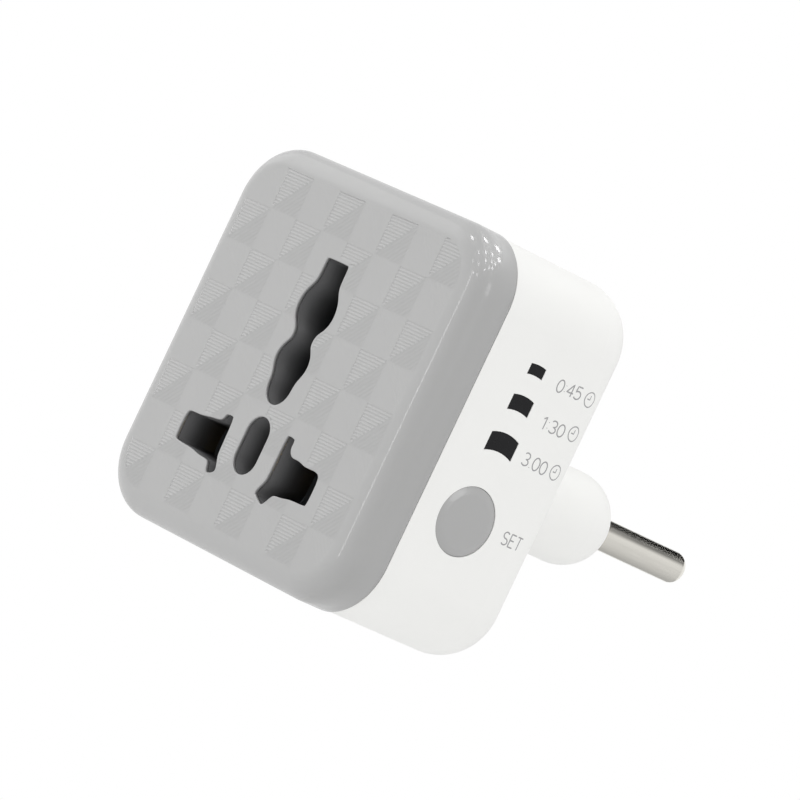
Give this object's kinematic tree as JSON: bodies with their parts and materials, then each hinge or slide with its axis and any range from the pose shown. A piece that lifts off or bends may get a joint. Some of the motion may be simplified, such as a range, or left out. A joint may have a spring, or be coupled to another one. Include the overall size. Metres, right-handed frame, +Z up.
{
  "type": "plug in timer switch",
  "caption": "Plug in timer switch: square case with a multi-standard socket on the front, a round-pin plug on the back, and a timer button with status windows on its side.",
  "frame": {"origin": "Centre of the end face of the plug body, midway between the two pins, where the part meets a wall outlet.", "axes": "+Y is the way the pins go into the outlet, +Z is up as the picture shows the case upright, +X is to the right on the socket face."},
  "size_m": [0.052, 0.0672, 0.0521],
  "materials": {
    "cover_plastic": "fine matt moulded, light grey",
    "housing_plastic": "satin moulded, off-white",
    "button_plastic": "satin moulded, grey",
    "window_smoke": "dark smoked, clear",
    "pin_nickel": "nickel-plated brass, polished",
    "screw_steel": "zinc plated",
    "contact_brass": "bright strip",
    "carrier_plastic": "matt heat-resisting moulding",
    "black_plastic": "matt moulded",
    "board_laminate": "green solder mask",
    "relay_blue": "semi-gloss",
    "relay_iron": "plated iron",
    "bobbin_plastic": "natural",
    "winding_copper": "enamelled copper wire",
    "capacitor_yellow": "smooth box",
    "varistor_blue": "dipped lacquer",
    "resistor_green": "flameproof lacquer",
    "capacitor_sleeve": "shrink sleeve",
    "led_lens": "clear resin",
    "live_lead": "insulated wire",
    "neutral_lead": "insulated wire",
    "ribbon_grey": "insulated flat cable"
  },
  "bodies": {
    "case": {"front_cover": "cover_plastic", "socket_insert": "black_plastic", "rear_housing": "housing_plastic", "case_screw_1": "screw_steel", "case_screw_2": "screw_steel", "case_screw_3": "screw_steel", "case_screw_4": "screw_steel", "contact_carrier": "carrier_plastic", "carrier_lid": "carrier_plastic", "carrier_screw_1": "screw_steel", "carrier_screw_2": "screw_steel", "carrier_screw_3": "screw_steel", "lid_screw_1": "screw_steel", "lid_screw_2": "screw_steel", "line_contact": "contact_brass", "neutral_contact": "contact_brass", "line_pin": "pin_nickel", "neutral_pin": "pin_nickel", "pin_retainer": "black_plastic", "retainer_screw": "screw_steel", "power_board": "board_laminate", "power_board_screw_1": "screw_steel", "power_board_screw_2": "screw_steel", "relay_base": "black_plastic", "relay_cover": "relay_blue", "relay_bobbin": "bobbin_plastic", "relay_winding": "winding_copper", "relay_yoke": "relay_iron", "relay_contact": "contact_brass", "suppression_capacitor": "capacitor_yellow", "varistor": "varistor_blue", "fuse_resistor": "resistor_green", "control_board": "board_laminate", "control_board_screw_1": "screw_steel", "control_board_screw_2": "screw_steel", "smoothing_capacitor": "capacitor_sleeve", "bridge_rectifier": "black_plastic", "microcontroller": "black_plastic", "chip_resistor_1": "black_plastic", "chip_resistor_2": "black_plastic", "chip_resistor_3": "black_plastic", "status_led_1": "led_lens", "status_led_2": "led_lens", "status_led_3": "led_lens", "led_baffle": "black_plastic", "status_windows": "window_smoke", "switch_body": "black_plastic", "line_lead": "live_lead", "switched_lead": "live_lead", "neutral_lead": "neutral_lead", "neutral_feed": "neutral_lead", "board_ribbon": "ribbon_grey"},
    "button": {"set_button": "button_plastic"},
    "plunger": {"switch_plunger": "bobbin_plastic"},
    "armature": {"relay_armature": "relay_iron"}
  },
  "joints": [
    {"name": "button_press", "type": "slide", "parent": "case", "child": "button", "axis": [-1, 0, 0], "range_m": [0, 0.0003], "stiffness_N_per_m": 2500, "springref_m": -0.0004},
    {"name": "plunger_press", "type": "slide", "parent": "case", "child": "plunger", "axis": [-1, 0, 0], "range_m": [0, 0.0003]},
    {"name": "relay_pull_in", "type": "hinge", "parent": "case", "child": "armature", "pos_m": [-0.00885, -0.03465, 0.01085], "axis": [0, 1, 0], "range_deg": [0, 4], "stiffness_Nm_per_rad": 0.02, "springref_deg": -3.44}
  ],
  "couplings": [
    {"joint": "plunger_press", "follows": "button_press", "ratio": 1}
  ]
}
